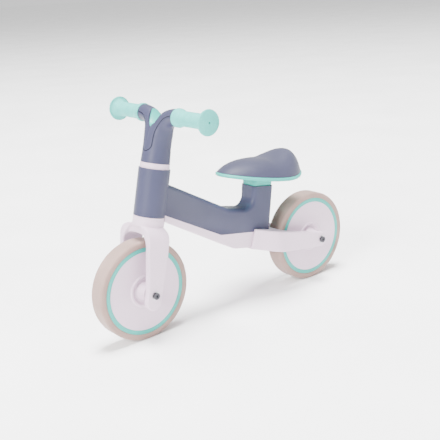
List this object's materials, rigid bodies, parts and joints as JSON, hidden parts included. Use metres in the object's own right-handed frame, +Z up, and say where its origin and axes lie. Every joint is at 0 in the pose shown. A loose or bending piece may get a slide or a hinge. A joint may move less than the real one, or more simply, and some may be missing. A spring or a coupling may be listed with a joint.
{
  "type": "balance bike",
  "caption": "Toddler's balance bike with moulded frame, raked steering fork, splayed Y handlebar, padded seat on a sliding post and solid foam-tyred disc wheels.",
  "frame": {"origin": "on the ground, midway between the two wheels", "axes": "+X forward, +Y to the rider's left, +Z up"},
  "size_m": [0.619, 0.2834, 0.4312],
  "materials": {
    "slate_plastic": "satin",
    "white_plastic": "satin",
    "mint_plastic": "satin",
    "mint_rubber": "matte",
    "tyre_foam": "matte",
    "slate_cushion": "satin",
    "board": "matte",
    "bush_plastic": "matte",
    "dark_steel": "satin",
    "steel": "satin"
  },
  "bodies": {
    "frame": {"frame_shell": "slate_plastic", "head_ring": "white_plastic", "lower_steering_bush": "bush_plastic", "rear_axle_barrel": "dark_steel", "rear_axle_bolt": "dark_steel", "rear_axle_sleeve": "steel", "rear_axle_spacers": "steel", "rear_axle_washers": "steel", "rear_bearing_inner_rings": "steel", "rear_fork": "white_plastic", "rear_fork_screws": "steel", "seat_clamp_bolt": "dark_steel", "seat_clamp_nut": "steel", "underbeam": "white_plastic", "underbeam_screws": "steel", "upper_steering_bush": "bush_plastic"},
    "steering": {"crotch_insert": "mint_plastic", "fork": "white_plastic", "front_axle_barrel": "dark_steel", "front_axle_bolt": "dark_steel", "front_axle_sleeve": "steel", "front_axle_spacers": "steel", "front_axle_washers": "steel", "front_bearing_inner_rings": "steel", "handlebar_stem": "slate_plastic", "left_grip": "mint_rubber", "right_grip": "mint_rubber", "steerer_bolt": "steel", "steerer_nut": "steel", "steerer_tube": "steel", "stem_cover": "slate_plastic"},
    "front_wheel": {"front_bearing_balls": "steel", "front_bearing_outer_rings": "steel", "front_disc_screws": "steel", "front_left_disc": "white_plastic", "front_left_ring": "mint_plastic", "front_right_disc": "white_plastic", "front_right_ring": "mint_plastic", "front_tyre": "tyre_foam"},
    "rear_wheel": {"rear_bearing_balls": "steel", "rear_bearing_outer_rings": "steel", "rear_disc_screws": "steel", "rear_left_disc": "white_plastic", "rear_left_ring": "mint_plastic", "rear_right_disc": "white_plastic", "rear_right_ring": "mint_plastic", "rear_tyre": "tyre_foam"},
    "seat": {"seat_base": "mint_plastic", "seat_board": "board", "seat_cushion": "slate_cushion", "seat_screws": "steel"}
  },
  "joints": [
    {"name": "steering_turn", "type": "hinge", "parent": "frame", "child": "steering", "pos_m": [0.2145, 0, 0.095], "axis": [-0.2323, 0, 0.9727], "range_deg": [-45, 45]},
    {"name": "front_wheel_spin", "type": "hinge", "parent": "steering", "child": "front_wheel", "pos_m": [0.2145, 0, 0.095], "axis": [0, 1, 0], "continuous": true},
    {"name": "rear_wheel_spin", "type": "hinge", "parent": "frame", "child": "rear_wheel", "pos_m": [-0.2145, 0, 0.095], "axis": [0, 1, 0], "continuous": true},
    {"name": "seat_height", "type": "slide", "parent": "frame", "child": "seat", "axis": [-0.1478, 0, 0.989], "range_m": [0, 0.03]}
  ]
}
